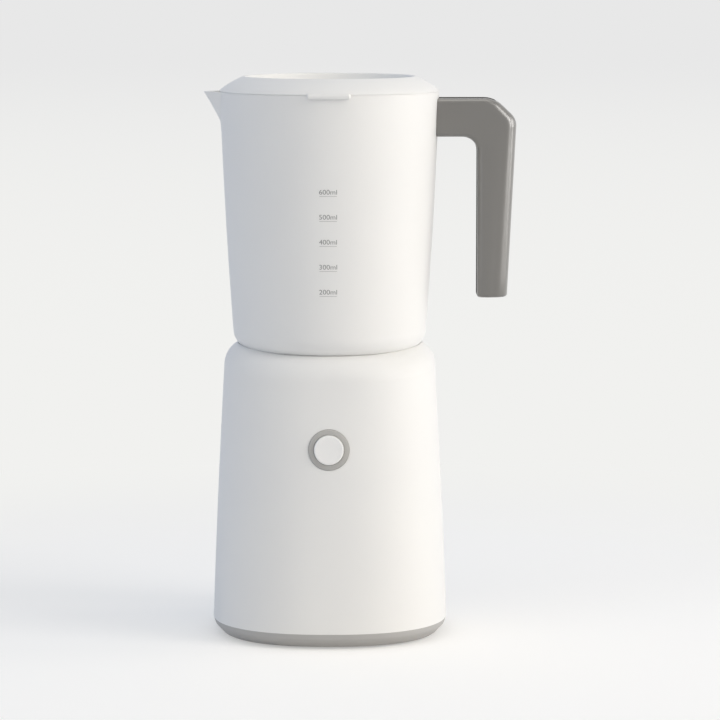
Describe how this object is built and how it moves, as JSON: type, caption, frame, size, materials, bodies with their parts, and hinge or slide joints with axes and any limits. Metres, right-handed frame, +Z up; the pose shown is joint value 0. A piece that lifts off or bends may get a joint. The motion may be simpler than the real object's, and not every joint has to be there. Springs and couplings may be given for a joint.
{
  "type": "nut milk maker",
  "caption": "Countertop nut milk maker: leaning squarish motor base with a push button, heated double-walled jug with spout and side handle, and a recessed lid with a front tab.",
  "frame": {"origin": "on the drive axis, at the level of the table that the feet stand on", "axes": "+Z up along the drive axis, -Y out of the front wall with the button, +X towards the handle, -X towards the spout"},
  "size_m": [0.17, 0.1284, 0.3048],
  "materials": {
    "white_plastic": "moulded, satin",
    "grey_plastic": "moulded, satin",
    "grip_plastic": "moulded, fine matt grain",
    "dark_plastic": "moulded, glass filled",
    "pale_rubber": "silicone, matt",
    "black_rubber": "matt",
    "brushed_steel": "brushed",
    "cast_aluminium": "as cast",
    "lamination_steel": "stacked sheet, oiled",
    "copper_wire": "enamelled winding wire",
    "brass": "turned",
    "carbon": "pressed carbon",
    "board_laminate": "glass laminate with solder mask"
  },
  "bodies": {
    "base": {"base_shell": "white_plastic", "jug_seat": "white_plastic", "base_ring": "grey_plastic", "bottom_cover": "grey_plastic", "foot_front_left": "black_rubber", "foot_front_right": "black_rubber", "foot_rear_left": "black_rubber", "foot_rear_right": "black_rubber", "cover_screw_front_left": "brushed_steel", "cover_screw_front_right": "brushed_steel", "cover_screw_rear_left": "brushed_steel", "cover_screw_rear_right": "brushed_steel", "button_bezel": "grey_plastic", "push_switch": "dark_plastic", "control_board": "board_laminate", "power_board": "board_laminate", "heater_relay": "dark_plastic", "filter_capacitor": "dark_plastic", "power_inlet": "dark_plastic", "seat_socket": "dark_plastic", "shaft_seal": "black_rubber", "stator_stack": "lamination_steel", "field_coil_front": "copper_wire", "field_coil_rear": "copper_wire", "motor_bracket_top": "cast_aluminium", "motor_bracket_bottom": "cast_aluminium", "bearing_top": "brushed_steel", "bearing_bottom": "brushed_steel", "brush_holder_front": "dark_plastic", "brush_holder_rear": "dark_plastic", "carbon_brush_front": "carbon", "carbon_brush_rear": "carbon"},
    "button": {"button_cap": "white_plastic", "switch_plunger": "dark_plastic"},
    "rotor": {"motor_shaft": "brushed_steel", "armature_core": "lamination_steel", "armature_winding": "copper_wire", "commutator": "brass", "cooling_fan": "dark_plastic", "drive_coupler": "dark_plastic"},
    "jug": {"jug_shell": "white_plastic", "jug_liner": "brushed_steel", "jug_base": "white_plastic", "heater_plate": "cast_aluminium", "heating_element": "brushed_steel", "thermostat": "cast_aluminium", "bearing_housing": "brass", "bearing_nut": "brushed_steel", "jug_plug": "dark_plastic", "handle": "grip_plastic", "handle_cover": "grip_plastic", "handle_screw_upper": "brushed_steel", "handle_screw_lower": "brushed_steel"},
    "blades": {"blade_shaft": "brushed_steel", "blade_lower": "brushed_steel", "blade_upper": "brushed_steel", "blade_nut": "brushed_steel", "driven_coupler": "dark_plastic"},
    "lid": {"lid": "white_plastic", "lid_seal": "pale_rubber"}
  },
  "joints": [
    {"name": "jug_lift", "type": "slide", "parent": "base", "child": "jug", "axis": [0, 0, 1], "range_m": [0, 0.12]},
    {"name": "lid_lift", "type": "slide", "parent": "jug", "child": "lid", "axis": [0, 0, 1], "range_m": [0, 0.05]},
    {"name": "motor_spin", "type": "hinge", "parent": "base", "child": "rotor", "pos_m": [0, 0, 0.09], "axis": [0, 0, 1], "continuous": true},
    {"name": "blade_spin", "type": "hinge", "parent": "jug", "child": "blades", "pos_m": [0, 0, 0.155], "axis": [0, 0, 1], "continuous": true},
    {"name": "button_press", "type": "slide", "parent": "base", "child": "button", "axis": [0, 0.9987, -0.0511], "range_m": [0, 0.0008], "stiffness_N_per_m": 2500, "springref_m": -0.0002}
  ],
  "couplings": [
    {"joint": "blade_spin", "follows": "motor_spin", "ratio": 1}
  ]
}
